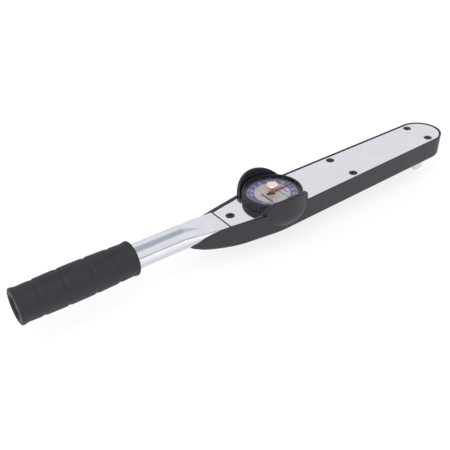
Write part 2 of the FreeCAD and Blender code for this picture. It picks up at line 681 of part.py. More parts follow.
def make_retaining_ring():
    low = BOTTOM_Z + SEAT_GAP
    clip = ring(HUB_R - CIRCLIP_DEPTH, CIRCLIP_R, low, low + CIRCLIP_THICK)
    return clip.cut(box(0, NOSE_R, -CIRCLIP_MOUTH / 2, CIRCLIP_MOUTH / 2, 0, 100))


def make_detent_ball():
    return Part.makeSphere(BALL_R, ball_centre())


def make_detent_spring():
    start = SQUARE / 2 - BALL_BORE_DEPTH + DETENT_WIRE_R
    length = ball_centre().x - BALL_R - DETENT_WIRE_R - start
    coil_r = BALL_R - DETENT_WIRE_R - 2 * SEAT_GAP
    helix = Part.makeHelix(length / DETENT_COILS, length, coil_r)
    section = Part.Wire(Part.Circle(V(coil_r, 0, 0), V(0, 1, 0), DETENT_WIRE_R).toShape())
    spring = Part.Wire(helix.Edges).makePipeShell([section], True, True)
    spring.rotate(ORIGIN, V(0, 1, 0), 90)
    spring.translate(V(start, 0, BALL_HEIGHT))
    return spring


def polar(radius, degrees):
    """A point at radius from the drive axis, degrees round from the -X direction."""
    angle = math.radians(degrees)
    return (-radius * math.cos(angle), -radius * math.sin(angle))


def sector_points():
    """The arm's outline: pad, arm, and the toothed arc that faces the dial axis."""
    pitch = 360 / SECTOR_TEETH
    tip_r = SECTOR_RADIUS + SECTOR_ADDENDUM
    root_r = SECTOR_RADIUS - 1.25 * GEAR_MODULE
    half = math.pi * GEAR_MODULE / 4 - TOOTH_CLEAR
    lean = math.tan(math.radians(20))

    def flank(radius, sign, centre):
        thick = half - (radius - SECTOR_RADIUS) * lean
        return polar(radius, centre + sign * math.degrees(thick / radius))
    count = round(SECTOR_HALF_DEG / pitch)
    teeth = []
    for k in range(-count, count):
        centre = (k + 0.5) * pitch
        teeth += [flank(root_r, -1, centre), flank(tip_r, -1, centre),
                  flank(tip_r, 1, centre), flank(root_r, 1, centre)]
    inner_r = SECTOR_RADIUS - SECTOR_DEPTH
    reach = count * pitch
    pad_end = -YOKE_LENGTH
    neck = pad_end - 3 * ARM_HALF_FRONT
    arm_end = -inner_r + SECTOR_DEPTH
    left = [polar(inner_r, -reach), (arm_end, ARM_HALF_REAR), (neck, ARM_HALF_REAR),
            (pad_end, ARM_HALF_FRONT), (ARM_START, ARM_HALF_FRONT)]
    right = [(x, -y) for x, y in left]
    return [polar(root_r, -reach)] + teeth + [polar(root_r, reach)] + right + left[::-1]


def make_sector_arm():
    arm = prism(sector_points(), ARM_Z, ARM_TOP)
    for x in ARM_SCREW_X:
        arm = arm.cut(cyl(ARM_SCREW_R + SEAT_GAP, 0, 100, x, 0))
    return arm


def make_arm_screws():
    screws = []
    for x in ARM_SCREW_X:
        shank = cyl(ARM_SCREW_R, BEAM_TOP + SEAT_GAP, ARM_TOP, x, 0)
        screws.append(fused([shank, cyl(ARM_SCREW_HEAD_R, ARM_TOP, ARM_TOP + SMALL_HEAD, x, 0)]))
    return Part.makeCompound(screws)


# Gauge movement ---------------------------------------------------------------

def pinion_points():
    """Involute pinion with one tooth pointing at the drive axis."""
    base_r = PITCH_RADIUS * math.cos(math.radians(20))
    tip_r = PITCH_RADIUS + GEAR_MODULE
    root_r = PITCH_RADIUS - 1.2 * GEAR_MODULE

    def involute(radius):
        if radius <= base_r:
            return 0.0
        turn = math.acos(base_r / radius)
        return math.tan(turn) - turn
    half = (math.pi * GEAR_MODULE / 4 - TOOTH_CLEAR) / PITCH_RADIUS + involute(PITCH_RADIUS)
    radii = [root_r, base_r, (base_r + PITCH_RADIUS) / 2, PITCH_RADIUS, (PITCH_RADIUS + tip_r) / 2, tip_r]
    points = []
    for k in range(PINION_TEETH):
        centre = 2 * math.pi * k / PINION_TEETH
        rising = [(r, centre - half + involute(r)) for r in radii]
        falling = [(r, centre + half - involute(r)) for r in reversed(radii)]
        points += [(DIAL_X + r * math.cos(a), r * math.sin(a)) for r, a in rising + falling]
    return points


def make_pinion():
    middle = (ARM_Z + ARM_TOP) / 2
    low = middle - PINION_LENGTH / 2
    return prism(pinion_points(), low, low + PINION_LENGTH).cut(cyl(ARBOR_R, 0, 100, DIAL_X, 0))


def make_pointer_arbor():
    foot = BRIDGE_M_Z + MOVEMENT_BRIDGE + THIN_GAP
    pivot = cyl(PIVOT_R, BRIDGE_M_Z + THIN_GAP, foot, DIAL_X, 0)
    return fused([pivot, cyl(ARBOR_R, foot, PLATE_Z + POINTER_HEIGHT + POINTER + THIN_GAP, DIAL_X, 0)])


def make_movement_bridge():
    points = list(MOVEMENT_OUTLINE) + [(x, -y) for x, y in reversed(MOVEMENT_OUTLINE)]
    low, high = BRIDGE_M_Z, BRIDGE_M_Z + MOVEMENT_BRIDGE
    bridge = prism([(DIAL_X + x, y) for x, y in points], low, high)
    bridge = bridge.cut(cyl(PIVOT_R + RUN_FIT, 0, 100, DIAL_X, 0))
    for x, y in PILLAR_SPOTS:
        bridge = bridge.cut(cyl(SPIGOT_R, 0, 100, DIAL_X + x, y))
    return bridge


def make_movement_pillars():
    pillars = []
    for x, y in PILLAR_SPOTS:
        spot = (DIAL_X + x, y)
        body = cyl(PILLAR_R, BRIDGE_M_Z + MOVEMENT_BRIDGE, PLATE_UNDER, *spot)
        spigot = cyl(SPIGOT_R, BRIDGE_M_Z, BRIDGE_M_Z + MOVEMENT_BRIDGE, *spot)
        thread = cyl(MOVEMENT_SCREW_R, PLATE_UNDER - MOVEMENT_SCREW_DEPTH, 100, *spot)
        pillars.append(fused([body, spigot]).cut(thread))
    return Part.makeCompound(pillars)


def pan_screw(x, y, seat, length, radius, head_r, head):
    screw = fused([cyl(radius, seat - length, seat, x, y), cyl(head_r, seat, seat + head, x, y)])
    slot = box(x - head_r, x + head_r, y - SLOT / 2, y + SLOT / 2, seat + head / 2, seat + head + 1)
    return screw.cut(slot)


def make_movement_screws():
    seat = PLATE_Z + BASE_FLOOR
    long_one = BASE_FLOOR + PLATE + MOVEMENT_SCREW_DEPTH
    short_one = BASE_FLOOR + PLATE
    spots = [(x, y, long_one) for x, y in PILLAR_SPOTS] + [(x, y, short_one) for x, y in BASE_SCREW_SPOTS]
    screws = [pan_screw(DIAL_X + x, y, seat, length, MOVEMENT_SCREW_R, 2 * MOVEMENT_SCREW_R, SMALL_HEAD)
              for x, y, length in spots]
    return Part.makeCompound(screws)


def make_arbor_bush():
    return ring(ARBOR_R + RUN_FIT, ARBOR_BUSH_R, PLATE_Z - BOSS_DROP, PLATE_Z + BASE_FLOOR, DIAL_X, 0)


def hair_level():
    return PLATE_Z + BASE_FLOOR + 2 * FREE_GAP


def make_hairspring_collet():
    low = hair_level() - FREE_GAP
    return ring(ARBOR_R, HAIR_COLLET_R, low, low + HAIR_HEIGHT + 2 * FREE_GAP, DIAL_X, 0)


def hair_radius(turn):
    return HAIR_COLLET_R + THIN_GAP + HAIR_STRIP / 2 + turn * HAIR_PITCH


def make_hairspring():
    steps = 24 * HAIR_TURNS
    centre_line = [(hair_radius(k / 24), 2 * math.pi * k / 24) for k in range(steps + 1)]

    def side(offset):
        return [(DIAL_X + (r + offset) * math.cos(a), (r + offset) * math.sin(a)) for r, a in centre_line]
    outer, inner = side(HAIR_STRIP / 2), side(-HAIR_STRIP / 2)
    return prism(outer + inner[::-1], hair_level(), hair_level() + HAIR_HEIGHT)


def make_hairspring_stud():
    x = DIAL_X + hair_radius(HAIR_TURNS) + HAIR_STRIP / 2 + STUD_R
    return cyl(STUD_R, PLATE_Z + BASE_FLOOR, hair_level() + HAIR_HEIGHT + FREE_GAP, x, 0)


# Gauge case ----------------------------------------------------------------------

def make_gauge_base():
    def level(height):
        return PLATE_Z + height
    floor = cyl(BASE_R, level(0), level(BASE_FLOOR), DIAL_X, 0)
    wall = ring(BASE_R - BASE_WALL, BASE_R, level(0), level(BASE_HEIGHT), DIAL_X, 0)
    boss = cyl(BOSS_R, level(-BOSS_DROP), level(0), DIAL_X, 0)
    base = fused([floor, wall, boss])
    groove = ring(BASE_R - CLIP_DEPTH, BASE_R + 1, level(CLIP_HEIGHT), level(CLIP_HEIGHT + CLIP), DIAL_X, 0)
    base = base.cut(groove)
    base = base.cut(cyl(ARBOR_BUSH_R, 0, 100, DIAL_X, 0))
    for x, y in PILLAR_SPOTS + BASE_SCREW_SPOTS:
        base = base.cut(cyl(MOVEMENT_SCREW_R + SEAT_GAP, 0, 100, DIAL_X + x, y))
    return base


def make_bezel_clip():
    low = PLATE_Z + CLIP_HEIGHT
    clip = ring(BASE_R - CLIP_DEPTH, BASE_R + CLIP_REACH, low, low + CLIP, DIAL_X, 0)
    return clip.cut(box(DIAL_X, DIAL_X + WAIST * 2, -CLIP_MOUTH / 2, CLIP_MOUTH / 2, 0, 100))


def make_bezel_carrier():
    low, high = PLATE_Z + BEZEL_FOOT + THIN_GAP, PLATE_Z + CARRIER_TOP
    carrier = ring(BASE_R + FREE_GAP, CARTRIDGE_R, low, high, DIAL_X, 0)
    groove = cyl(BASE_R + CLIP_REACH + SEAT_GAP, PLATE_Z + CLIP_HEIGHT - SEAT_GAP,
                 PLATE_Z + CLIP_HEIGHT + CLIP + SEAT_GAP, DIAL_X, 0)
    return carrier.cut(groove)


def make_bezel():
    valley = BEZEL_R - BEZEL_RIB
    low = PLATE_Z + BEZEL_FOOT
    top = PLATE_Z + BEZEL_TOP
    body = cyl(BEZEL_R, PLATE_Z + RIB_TOP, top, DIAL_X, 0)
    outer_edge = [e for e in body.Edges if e.BoundBox.ZMin > top - 0.01]
    body = body.makeFillet(BEZEL_ROUND, outer_edge)
    body = body.fuse(cyl(valley, low, PLATE_Z + RIB_TOP, DIAL_X, 0))
    step = 2 * math.pi / BEZEL_RIBS
    points = []
    for k in range(BEZEL_RIBS):
        for share, radius in ((-0.30, valley - 0.2), (-0.16, BEZEL_R), (0.16, BEZEL_R), (0.30, valley - 0.2)):
            angle = (k + share) * step
            points.append((DIAL_X + radius * math.cos(angle), radius * math.sin(angle)))
    body = body.fuse(prism(points, low + FREE_GAP, PLATE_Z + RIB_TOP))
    body = body.cut(cyl(CARTRIDGE_R, 0, PLATE_Z + LENS_SEAT, DIAL_X, 0))
    return body.cut(cyl(WINDOW_R, 0, 100, DIAL_X, 0)).removeSplitter()


def make_dial_face():
    top = PLATE_Z + CARRIER_TOP + DIAL
    return ring(POINTER_HUB_R + 2 * FREE_GAP, CARTRIDGE_R, PLATE_Z + CARRIER_TOP, top, DIAL_X, 0)


def lens_levels():
    return PLATE_Z + LENS_SEAT - LENS, PLATE_Z + LENS_SEAT


def make_dial_spacer():
    low, _ = lens_levels()
    return ring(CARTRIDGE_R - GASKET_WIDTH, CARTRIDGE_R, PLATE_Z + CARRIER_TOP + DIAL, low - GASKET, DIAL_X, 0)


def make_lens_gasket():
    low, _ = lens_levels()
    return ring(CARTRIDGE_R - GASKET_WIDTH, CARTRIDGE_R, low - GASKET, low, DIAL_X, 0)


def make_lens():
    low, high = lens_levels()
    return ring(KNOB_BUSH_R, CARTRIDGE_R, low, high, DIAL_X, 0)


def make_knob_bush():
    low, high = lens_levels()
    bore = STEM_R + RUN_FIT
    body = ring(bore, KNOB_BUSH_R, low - SEAT_GAP, high, DIAL_X, 0)
    return fused([body, ring(bore, KNOB_BUSH_R + 0.5, high, high + FREE_GAP, DIAL_X, 0)])


def make_main_pointer():
    low = PLATE_Z + POINTER_HEIGHT
    half = [(POINTER_REACH, POINTER_TIP), (0, POINTER_WAIST), (-POINTER_TAIL, POINTER_HEEL)]
    points = half + [(x, -y) for x, y in reversed(half)]
    blade = prism([(DIAL_X + x, y) for x, y in points], low, low + POINTER)
    hub = cyl(POINTER_HUB_R, low - SEAT_GAP, low + POINTER, DIAL_X, 0)
    return fused([blade, hub]).cut(cyl(ARBOR_R, 0, 100, DIAL_X, 0))


def make_memory_pointer():
    low = PLATE_Z + MEMORY_HEIGHT
    half = [(MEMORY_REACH, POINTER_TIP), (0, POINTER_WAIST)]
    points = half + [(x, -y) for x, y in reversed(half)]
    blade = prism([(DIAL_X + x, y) for x, y in points], low, low + MEMORY)
    hub = cyl(MEMORY_HUB_R, low, low + MEMORY, DIAL_X, 0)
    pointer = fused([blade, hub]).cut(cyl(STEM_R, 0, 100, DIAL_X, 0))
    pointer.rotate(V(DIAL_X, 0, 0), UP, MEMORY_ANGLE)
    return pointer


def make_knob_stem():
    return cyl(STEM_R, PLATE_Z + MEMORY_HEIGHT - THIN_GAP, PLATE_Z + KNOB_TOP - KNOB_THICK / 2, DIAL_X, 0)


def make_memory_knob():
    low, top = PLATE_Z + KNOB_TOP - KNOB_THICK, PLATE_Z + KNOB_TOP
    knob = cyl(KNOB_R, low, top, DIAL_X, 0)
    knob = knob.makeChamfer(KNOB_EDGE, [e for e in knob.Edges if e.BoundBox.ZLength < 0.01])
    step = 2 * math.pi / KNOB_NOTCHES
    places = [(DIAL_X + KNOB_R * math.cos(k * step), KNOB_R * math.sin(k * step)) for k in range(KNOB_NOTCHES)]
    knob = knob.cut([cyl(KNOB_NOTCH_R, low - 1, top + 1, x, y) for x, y in places])
    return knob.cut(cyl(STEM_R, 0, PLATE_Z + KNOB_TOP - KNOB_THICK / 2, DIAL_X, 0))


# Handle ---------------------------------------------------------------------------

def grip_radius(s):
    """Outer radius of the grip at the distance s from the butt."""
    share = s / GRIP_LENGTH
    radius = GRIP_NECK_R + (GRIP_BELLY_R - GRIP_NECK_R) * math.sin(math.pi * share) ** 0.8
    for place in GRIP_GROOVES:
        away = abs(s - place) / GROOVE_HALF
        if away < 1:
            radius -= GROOVE_DEPTH * (1 + math.cos(math.pi * away)) / 2
    for end in (GRIP_LIP / 2, GRIP_LENGTH - GRIP_LIP / 2):
        away = abs(s - end) / (2 * GRIP_LIP)
        if away < 1:
            radius += (GRIP_LIP_R - GRIP_NECK_R) * (1 + math.cos(math.pi * away)) / 2
    return radius


def make_grip():
    butt = -HANDLE_LENGTH
    steps = 70
    spots = [GRIP_LENGTH * k / steps for k in range(steps + 1)]
    curve = Part.BSplineCurve()
    curve.interpolate([V(butt + s, grip_radius(s), 0) for s in spots])
    front = butt + GRIP_LENGTH
    step_x = butt + PLUG_SINK + PLUG_FLANGE
    bore = TUBE_R + TUBE_SNUG
    inner = [V(front, grip_radius(GRIP_LENGTH), 0), V(front, bore, 0), V(step_x, bore, 0),
             V(step_x, PLUG_R + TUBE_SNUG, 0), V(butt, PLUG_R + TUBE_SNUG, 0), V(butt, grip_radius(0), 0)]
    wire = Part.Wire([curve.toShape()] + [Part.LineSegment(a, b).toShape() for a, b in zip(inner, inner[1:])])
    grip = Part.Face(wire).revolve(ORIGIN, V(1, 0, 0), 360)
    ends = [e for e in grip.Edges if e.BoundBox.YLength > 2 * GRIP_NECK_R
            and (e.BoundBox.XMax < butt + 0.01 or e.BoundBox.XMin > front - 0.01)]
    return along_handle(grip.makeFillet(GRIP_ROUND, ends))


def make_end_plug():
    butt = -HANDLE_LENGTH + PLUG_SINK
    flange = Part.makeCylinder(PLUG_R, PLUG_FLANGE, V(butt, 0, 0), V(1, 0, 0))
    flange = flange.makeChamfer(GRIP_ROUND, [e for e in flange.Edges if e.BoundBox.XMax < butt + 0.01])
    stem = Part.makeCylinder(TUBE_R - TUBE_WALL, PLUG_STEM, V(butt + PLUG_FLANGE, 0, 0), V(1, 0, 0))
    hollow = Part.makeCylinder(TUBE_R - 2 * TUBE_WALL, PLUG_STEM, V(butt + PLUG_FLANGE, 0, 0), V(1, 0, 0))
    dish = Part.makeCylinder(PLUG_R - PLUG_RIM, PLUG_DISH, V(butt, 0, 0), V(1, 0, 0))
    return along_handle(flange.fuse(stem).cut([hollow, dish]).removeSplitter())


NODES = {
    "housing": make_housing, "top_plate": make_top_plate, "plate_screws": make_plate_screws,
    "frame_channel": make_frame_channel, "plate_posts": make_plate_posts, "head_bridge": make_head_bridge,
    "lower_bush": make_lower_bush, "upper_bush": make_upper_bush, "deflecting_beam": make_deflecting_beam,
    "load_pins": make_load_pins, "overload_stops": make_overload_stops, "anchor_block": make_anchor_block,
    "block_screws": make_block_screws, "handle_tube": make_handle_tube, "tube_pins": make_tube_pins,
    "grip": make_grip, "end_plug": make_end_plug,
    "drive_head": make_drive_head, "yoke_pins": make_yoke_pins, "thrust_washer": make_thrust_washer,
    "retaining_ring": make_retaining_ring, "sector_arm": make_sector_arm, "arm_screws": make_arm_screws,
    "detent_ball": make_detent_ball, "detent_spring": make_detent_spring,
    "gauge_base": make_gauge_base, "bezel_clip": make_bezel_clip, "movement_bridge": make_movement_bridge,
    "movement_pillars": make_movement_pillars, "movement_screws": make_movement_screws,
    "arbor_bush": make_arbor_bush, "hairspring": make_hairspring, "hairspring_stud": make_hairspring_stud,
    "pointer_arbor": make_pointer_arbor, "pinion": make_pinion, "main_pointer": make_main_pointer,
    "hairspring_collet": make_hairspring_collet,
    "bezel": make_bezel, "bezel_carrier": make_bezel_carrier, "dial_face": make_dial_face,
    "dial_spacer": make_dial_spacer, "lens_gasket": make_lens_gasket, "lens": make_lens,
    "knob_bush": make_knob_bush,
    "memory_knob": make_memory_knob, "knob_stem": make_knob_stem, "memory_pointer": make_memory_pointer,
}

os.makedirs("parts", exist_ok=True)
for name, make in NODES.items():
    shape = make()
    print(f"{name}: {len(shape.Solids)} solid(s), {shape.Volume:.1f} mm3, valid {shape.isValid()}")
    shape.exportStep(f"parts/{name}.step")
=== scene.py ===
import json
import math

import bmesh
import bpy
from mathutils import Matrix, Vector


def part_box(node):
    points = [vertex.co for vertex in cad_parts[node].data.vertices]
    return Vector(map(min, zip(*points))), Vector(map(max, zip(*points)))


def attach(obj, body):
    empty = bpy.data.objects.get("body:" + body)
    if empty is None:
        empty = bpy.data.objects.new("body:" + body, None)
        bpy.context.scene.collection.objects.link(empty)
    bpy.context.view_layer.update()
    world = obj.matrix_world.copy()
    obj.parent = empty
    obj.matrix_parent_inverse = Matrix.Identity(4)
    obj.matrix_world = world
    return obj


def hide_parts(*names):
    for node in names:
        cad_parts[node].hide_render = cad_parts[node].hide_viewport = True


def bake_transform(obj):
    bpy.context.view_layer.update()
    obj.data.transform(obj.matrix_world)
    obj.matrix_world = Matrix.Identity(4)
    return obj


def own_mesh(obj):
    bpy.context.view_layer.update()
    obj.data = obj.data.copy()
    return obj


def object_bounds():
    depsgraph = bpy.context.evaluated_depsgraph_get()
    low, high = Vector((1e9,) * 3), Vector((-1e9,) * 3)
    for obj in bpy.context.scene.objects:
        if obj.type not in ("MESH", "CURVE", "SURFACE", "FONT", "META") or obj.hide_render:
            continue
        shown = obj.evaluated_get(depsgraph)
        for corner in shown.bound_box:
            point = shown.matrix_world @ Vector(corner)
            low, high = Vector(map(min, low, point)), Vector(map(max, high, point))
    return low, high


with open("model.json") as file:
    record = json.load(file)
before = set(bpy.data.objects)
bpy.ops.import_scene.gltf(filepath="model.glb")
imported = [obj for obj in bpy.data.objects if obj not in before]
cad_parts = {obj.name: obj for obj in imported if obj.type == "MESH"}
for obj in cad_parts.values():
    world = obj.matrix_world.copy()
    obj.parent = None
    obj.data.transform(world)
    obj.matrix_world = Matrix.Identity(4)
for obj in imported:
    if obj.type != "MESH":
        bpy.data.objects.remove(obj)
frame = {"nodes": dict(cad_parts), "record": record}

CAD_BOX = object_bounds()
MM = 0.001
Z_AXIS = Vector((0, 0, 1))

# Camera
CAMERA_PLACE = (-0.5948, -0.4517, 0.4188)
CAMERA_AZIMUTH = 56.15
CAMERA_ELEVATION = 34.84
CAMERA_ROLL = 3.16
CAMERA_LENS = 52.0

# Dial print
SCALE_OUTER = 27.3 * MM
SURROUND_OUTER = 29.0 * MM
SCALE_INNER = 19.2 * MM
RING_STEPS = 144
PRINT_LIFT = 0.02 * MM
PRINT_THICK = 0.04 * MM
FULL_SCALE = 200           # N m
FULL_SCALE_DEG = 173.5
NUMBER_STEP = 25
TICK_STEP = 5
NUMBER_R = 22.6 * MM
NUMBER_HEIGHT = 3.6 * MM
LONG_TICK = (2.6 * MM, 0.26 * MM)       # length and half width
SHORT_TICK = (1.5 * MM, 0.14 * MM)
TICK_MARGIN = 0.3 * MM
# name, finish, place along the wrench, half width, and the two ends across it, in mm from the dial's centre
BARS = (("bar_teal", "scale_teal", 7.6, 1.0, -0.5, -18.0),
        ("bar_rose", "scale_rose", 13.6, 0.8, 4.0, -10.5),
        ("bar_grey", "scale_grey", -10.5, 1.3, 5.0, -14.0))

# Grip, along its axis from the butt
GRIP_RISE = math.radians(1.25)
GRIP_LENGTH = 114.7 * MM
GRIP_NECK_R = 16.1 * MM
GRIP_BELLY_R = 17.7 * MM
GRIP_LIP_R = 17.2 * MM
GRIP_LIP = 3.0 * MM
GRIP_GROOVES = (20.5 * MM, 44.0 * MM, 70.5 * MM, 94.5 * MM)
GROOVE_DEPTH = 0.9 * MM
GROOVE_HALF = 3.0 * MM
GRIP_EDGE = 1.3 * MM
GRIP_EDGE_STEPS = 6
GRIP_AROUND = 120
GRIP_ALONG = 230
GRIP_BORE_R = 12.75 * MM
PLUG_SEAT = 5.2 * MM
PLUG_GAP = 0.03 * MM

# Springs inside
BEAM_SECTIONS = 60
BEAM_REAR_HALF = 7.0 * MM
BEAM_EDGE = 0.8 * MM
COIL_TURNS = 4
COIL_STEPS = 32
COIL_AROUND = 10
WIRE_R = 0.3 * MM

# Studio
FLOOR_HALF = 60.0
FLOOR_GAP = 0.5 * MM
FLOOR_GLOW = 0.76
KEY_PLACE = Vector((-0.9, -0.6, 1.5))
KEY_SIZE = 1.2
KEY_WATTS = 9.0
# height from the horizon to straight overhead, and colour: dull at the horizon, pale, grey-blue overhead
SKY = ((0.0, (0.22, 0.23, 0.28)), (0.07, (0.30, 0.31, 0.36)), (0.16, (0.84, 0.84, 0.87)),
       (0.78, (0.86, 0.86, 0.89)), (0.88, (0.44, 0.47, 0.54)))


# Materials -------------------------------------------------------------------

class Finish:
    """A node material around one Principled shader."""

    def __init__(self, name, **values):
        self.material = bpy.data.materials.new(name)
        self.material.use_nodes = True
        self.tree = self.material.node_tree
        self.shader = self.tree.nodes["Principled BSDF"]
        for key, value in values.items():
            self.shader.inputs[key.replace("_", " ").title()].default_value = value

    def node(self, kind, **settings):
        made = self.tree.nodes.new("ShaderNode" + kind)
        for key, value in settings.items():
            setattr(made, key, value)
        return made

    def link(self, source, target):
        self.tree.links.new(source, target)

    def place(self, stretch=(1, 1, 1)):
        """Object coordinates in metres, stretched along each axis."""
        mapping = self.node("Mapping")
        mapping.inputs["Scale"].default_value = stretch
        self.link(self.node("TexCoord").outputs["Object"], mapping.inputs["Vector"])
        return mapping.outputs["Vector"]

    def noise(self, size, detail=3.0, stretch=(1, 1, 1)):
        """Noise whose blobs are about size metres across."""
        made = self.node("TexNoise")
        made.inputs["Scale"].default_value = 1 / size
        made.inputs["Detail"].default_value = detail
        self.link(self.place(stretch), made.inputs["Vector"])
        return made.outputs["Fac"]

    def cells(self, size):
        """Rounded cells about size metres across."""
        made = self.node("TexVoronoi")
        made.inputs["Scale"].default_value = 1 / size
        self.link(self.place(), made.inputs["Vector"])
        return made.outputs["Distance"]

    def spread(self, source, low, high, start=0.3, end=0.7):
        """Turns source, from start to end, into low to high."""
        made = self.node("MapRange")
        limits = {"From Min": start, "From Max": end, "To Min": low, "To Max": high}
        for socket, value in limits.items():
            made.inputs[socket].default_value = value
        self.link(source, made.inputs["Value"])
        return made.outputs["Result"]

    def colour(self, source, first, second):
        made = self.node("Mix", data_type="RGBA")
        made.inputs["A"].default_value = (*first, 1)
        made.inputs["B"].default_value = (*second, 1)
        self.link(source, made.inputs["Factor"])
        self.link(made.outputs["Result"], self.shader.inputs["Base Color"])

    def rough(self, source, low, high):
        self.link(self.spread(source, low, high), self.shader.inputs["Roughness"])

    def bump(self, source, depth, strength=1.0):
        made = self.node("Bump")
        made.inputs["Distance"].default_value = depth
        made.inputs["Strength"].default_value = strength
        self.link(source, made.inputs["Height"])
        self.link(made.outputs["Normal"], self.shader.inputs["Normal"])
        return self


def moulded(name, dark, light, low, high, grain=0.5 * MM, depth=0.02 * MM):
    """Matte moulded plastic or rubber: fine grain, slow variation in colour and gloss."""
    finish = Finish(name)
    slow = finish.noise(14 * MM)
    finish.colour(finish.spread(slow, 0, 1), dark, light)
    finish.rough(slow, low, high)
    return finish.bump(finish.cells(grain), depth, 0.5)


def metal(name, dark, light, low, high, brush=(1, 1, 1), grain=2 * MM, depth=0.003 * MM):
    """Bare or plated metal, with its grain stretched by brush."""
    finish = Finish(name, metallic=1.0)
    slow = finish.noise(18 * MM)
    fine = finish.noise(grain, 2.0, brush)
    finish.colour(finish.spread(slow, 0, 1), dark, light)
    finish.rough(fine, low, high)
    return finish.bump(fine, depth, 0.4)


def plated_tube(name, dark, light, painted_shade_colour):
    """Bright plating with painted shade: the base colour is darker where the surface faces down."""
    finish = metal(name, dark, light, 0.09, 0.15)
    top = finish.shader.inputs["Base Color"].links[0].from_socket
    split = finish.node("SeparateXYZ")
    finish.link(finish.node("NewGeometry").outputs["Normal"], split.inputs["Vector"])
    # painted shade: where the normal points down, the base colour blends towards the darker colour given
    # for the underside
    mix = finish.node("Mix", data_type="RGBA")
    mix.inputs["A"].default_value = (*painted_shade_colour, 1)
    finish.link(top, mix.inputs["B"])
    finish.link(finish.spread(split.outputs["Z"], 0, 1, -0.25, 0.2), mix.inputs["Factor"])
    finish.link(mix.outputs["Result"], finish.shader.inputs["Base Color"])
    return finish


def painted(name, dark, light, low=0.3, high=0.42, metallic=0.0):
    """Paint or print with a slight mottle."""
    finish = Finish(name, metallic=metallic)
    mottle = finish.noise(3 * MM)
    finish.colour(finish.spread(mottle, 0, 1), dark, light)
    finish.rough(mottle, low, high)
    return finish.bump(finish.noise(0.6 * MM), 0.004 * MM, 0.4)


def clear_lens(name):
    """Clear plastic: see-through, and shinier where it is seen at a low angle."""
    finish = Finish(name, metallic=1.0)
    finish.colour(finish.spread(finish.noise(20 * MM), 0, 1), (0.80, 0.82, 0.90), (0.86, 0.88, 0.95))
    finish.rough(finish.noise(30 * MM), 0.03, 0.06)
    clear = finish.node("BsdfTransparent")
    edge = finish.node("LayerWeight")
    edge.inputs["Blend"].default_value = 0.12
    mix = finish.node("MixShader")
    finish.link(finish.spread(edge.outputs["Fresnel"], 0.0, 0.45, 0.0, 1.0), mix.inputs["Fac"])
    finish.link(clear.outputs["BSDF"], mix.inputs[1])
    finish.link(finish.shader.outputs["BSDF"], mix.inputs[2])
    finish.link(mix.outputs["Shader"], finish.tree.nodes["Material Output"].inputs["Surface"])
    return finish


FINISHES = {
    "black_plastic": moulded("black_plastic", (0.013, 0.012, 0.018), (0.020, 0.019, 0.027), 0.42, 0.55),
    "polished_plate": metal("polished_plate",
                            (0.81, 0.81, 0.84), (0.85, 0.85, 0.88), 0.04, 0.09, (0.04, 1, 1)),
    "black_screws": painted("black_screws", (0.012, 0.012, 0.014), (0.022, 0.022, 0.025), 0.28, 0.4, 0.5),
    "inner_steel": metal("inner_steel", (0.50, 0.51, 0.54), (0.60, 0.61, 0.63), 0.25, 0.4, (0.05, 1, 1)),
    "bronze": metal("bronze", (0.52, 0.32, 0.15), (0.66, 0.43, 0.22), 0.3, 0.45),
    "spring_steel": metal("spring_steel",
                          (0.34, 0.35, 0.38), (0.44, 0.45, 0.49), 0.18, 0.3, (0.03, 1, 1)),
    # the chrome tube gets painted shade, (0.62, 0.62, 0.69), on the side facing down
    "chrome_tube": plated_tube("chrome_tube", (0.80, 0.81, 0.84), (0.86, 0.87, 0.90), (0.62, 0.62, 0.69)),
    "black_rubber": moulded("black_rubber", (0.014, 0.013, 0.018), (0.022, 0.021, 0.027), 0.55, 0.7),
    "plug_plastic": moulded("plug_plastic", (0.016, 0.020, 0.028), (0.024, 0.029, 0.038), 0.35, 0.5),
    "brass": metal("brass", (0.74, 0.56, 0.26), (0.84, 0.66, 0.34), 0.2, 0.32),
    "drive_steel": metal("drive_steel", (0.66, 0.66, 0.68), (0.78, 0.78, 0.80), 0.12, 0.24, (1, 1, 0.1)),
    "black_paint": painted("black_paint", (0.010, 0.010, 0.011), (0.020, 0.020, 0.022)),
    "dial_print": painted("dial_print", (0.50, 0.46, 0.43), (0.62, 0.58, 0.55), 0.3, 0.42, 0.25),
    "gasket_rubber": moulded("gasket_rubber", (0.018, 0.018, 0.020), (0.028, 0.028, 0.030), 0.6, 0.75),
    "clear_lens": clear_lens("clear_lens"),
    "knob_brass": metal("knob_brass", (0.93, 0.82, 0.64), (0.98, 0.89, 0.74), 0.22, 0.34),
    "dark_stem": painted("dark_stem", (0.030, 0.018, 0.018), (0.050, 0.028, 0.026), 0.25, 0.35, 0.6),
    "red_paint": painted("red_paint", (0.60, 0.06, 0.025), (0.76, 0.11, 0.05)),
}
PRINT_FINISHES = {
    "scale_violet": painted("scale_violet", (0.10, 0.085, 0.22), (0.17, 0.145, 0.31)),
    "scale_navy": painted("scale_navy", (0.012, 0.012, 0.026), (0.024, 0.024, 0.046)),
    "scale_white": painted("scale_white", (0.72, 0.72, 0.80), (0.84, 0.84, 0.90)),
    "scale_teal": painted("scale_teal", (0.10, 0.36, 0.36), (0.16, 0.46, 0.45)),
    "scale_rose": painted("scale_rose", (0.42, 0.08, 0.18), (0.52, 0.13, 0.24)),
    "scale_grey": painted("scale_grey", (0.10, 0.10, 0.12), (0.15, 0.15, 0.17)),
}


def dress_nodes():
    """Gives each node of the model the finish of its material slot."""
    for part in frame["record"]["subparts"]:
        data = frame["nodes"][part["node"]].data
        finish = FINISHES[part["material_slot"]].material
        if not data.materials:
            data.materials.append(finish)
        for index in range(len(data.materials)):
            data.materials[index] = finish


# Meshes ------------------------------------------------------------------------

